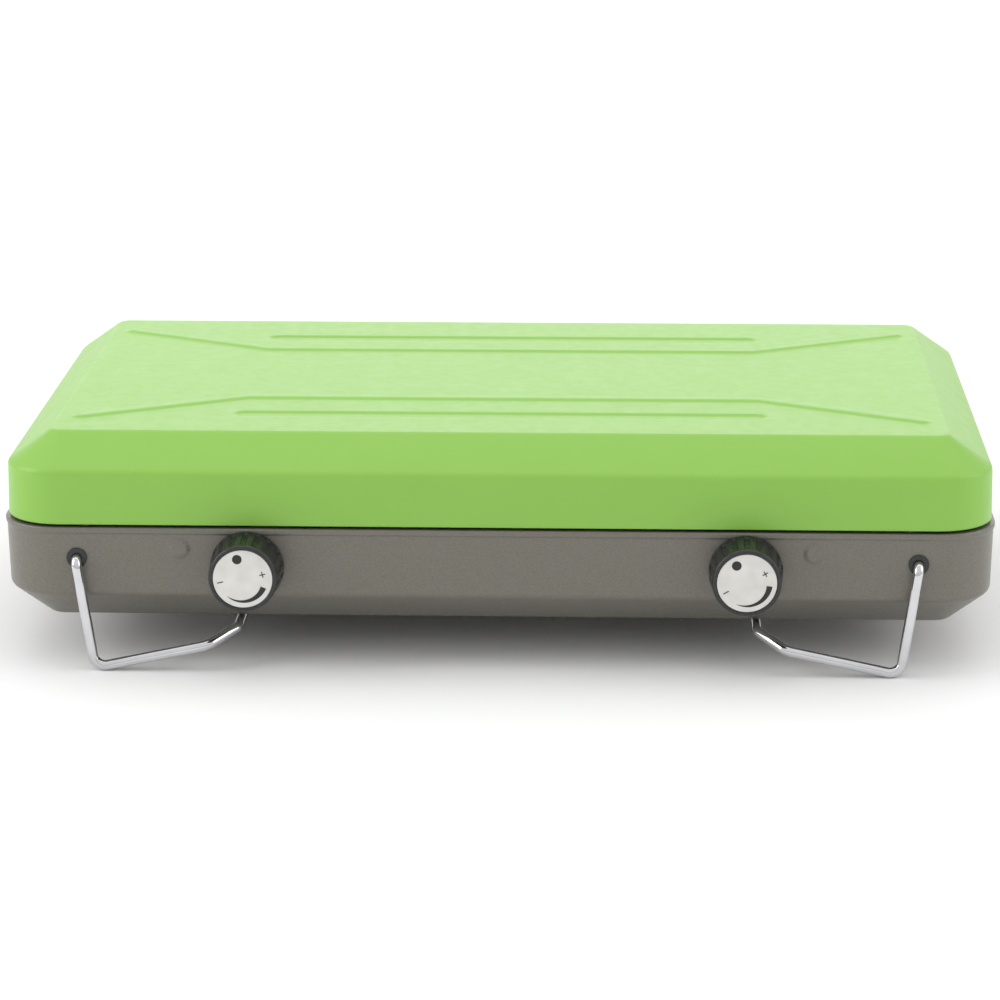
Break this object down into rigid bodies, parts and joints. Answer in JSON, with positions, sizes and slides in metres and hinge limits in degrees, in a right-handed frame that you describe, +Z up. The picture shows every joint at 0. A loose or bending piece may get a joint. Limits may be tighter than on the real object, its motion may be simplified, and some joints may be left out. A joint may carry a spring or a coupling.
{
  "type": "camping stove",
  "caption": "Suitcase-style gas camping stove with a hinged ribbed lid, fold-out wire legs and fluted control knobs.",
  "frame": {"origin": "on the ground, in the middle of the stove's footprint, from the knobs' faces to the gas inlet's end", "axes": "+X to the stove's right along its width, +Y to the rear where the lid hinges are, +Z up"},
  "size_m": [0.572, 0.389, 0.1356],
  "materials": {
    "lid_paint": "satin lime-green powder coat",
    "tray_paint": "satin taupe-grey metallic paint",
    "hob_enamel": "semi-gloss black enamel",
    "chrome": "polished chrome plate",
    "steel": "zinc-plated steel",
    "brass": "machined brass",
    "burner_alloy": "die-cast",
    "burner_black": "matt black enamel",
    "black_plastic": "satin moulded",
    "dial_plate": "satin plate with printed marks",
    "rubber": "matt"
  },
  "bodies": {
    "base": {"base_tray": "tray_paint", "drip_pan": "hob_enamel", "drip_pan_screws": "steel", "burner_screws": "steel", "valve_screws": "steel", "gas_manifold": "steel", "gas_inlet": "brass", "inlet_gasket": "rubber", "inlet_lock_nut": "brass", "pipe_clip": "steel", "leg_bushes": "black_plastic", "hinge_pins": "steel", "hinge_rivets_base": "steel", "burner_body_left": "burner_alloy", "burner_body_right": "burner_alloy", "burner_cap_left": "burner_black", "burner_cap_right": "burner_black", "valve_body_left": "brass", "valve_body_right": "brass", "injector_left": "brass", "injector_right": "brass", "pan_support_left": "chrome", "pan_support_right": "chrome", "hinge_base_leaf_left": "steel", "hinge_base_leaf_right": "steel"},
    "lid": {"lid_shell": "lid_paint", "lid_buffers": "rubber", "hinge_rivets_lid": "steel", "hinge_lid_leaf_left": "steel", "hinge_lid_leaf_right": "steel"},
    "leg_left": {"leg_bail_left": "chrome", "leg_clips_left": "steel"},
    "knob_left": {"knob_body_left": "black_plastic", "knob_disc_left": "dial_plate", "valve_spindle_left": "steel"},
    "leg_right": {"leg_bail_right": "chrome", "leg_clips_right": "steel"},
    "knob_right": {"knob_body_right": "black_plastic", "knob_disc_right": "dial_plate", "valve_spindle_right": "steel"}
  },
  "joints": [
    {"name": "lid_hinge", "type": "hinge", "parent": "base", "child": "lid", "pos_m": [0, 0.1795, 0.08455], "axis": [-1, 0, 0], "range_deg": [0, 100]},
    {"name": "leg_left_fold", "type": "hinge", "parent": "base", "child": "leg_left", "pos_m": [-0.2404, 0, 0.0658], "axis": [0, 1, 0], "range_deg": [0, 285]},
    {"name": "leg_right_fold", "type": "hinge", "parent": "base", "child": "leg_right", "pos_m": [0.2404, 0, 0.0658], "axis": [0, -1, 0], "range_deg": [0, 285]},
    {"name": "knob_left_turn", "type": "hinge", "parent": "base", "child": "knob_left", "pos_m": [-0.1424, 0, 0.0615], "axis": [0, -1, 0], "range_deg": [0, 270]},
    {"name": "knob_right_turn", "type": "hinge", "parent": "base", "child": "knob_right", "pos_m": [0.1424, 0, 0.0615], "axis": [0, -1, 0], "range_deg": [0, 270]}
  ]
}
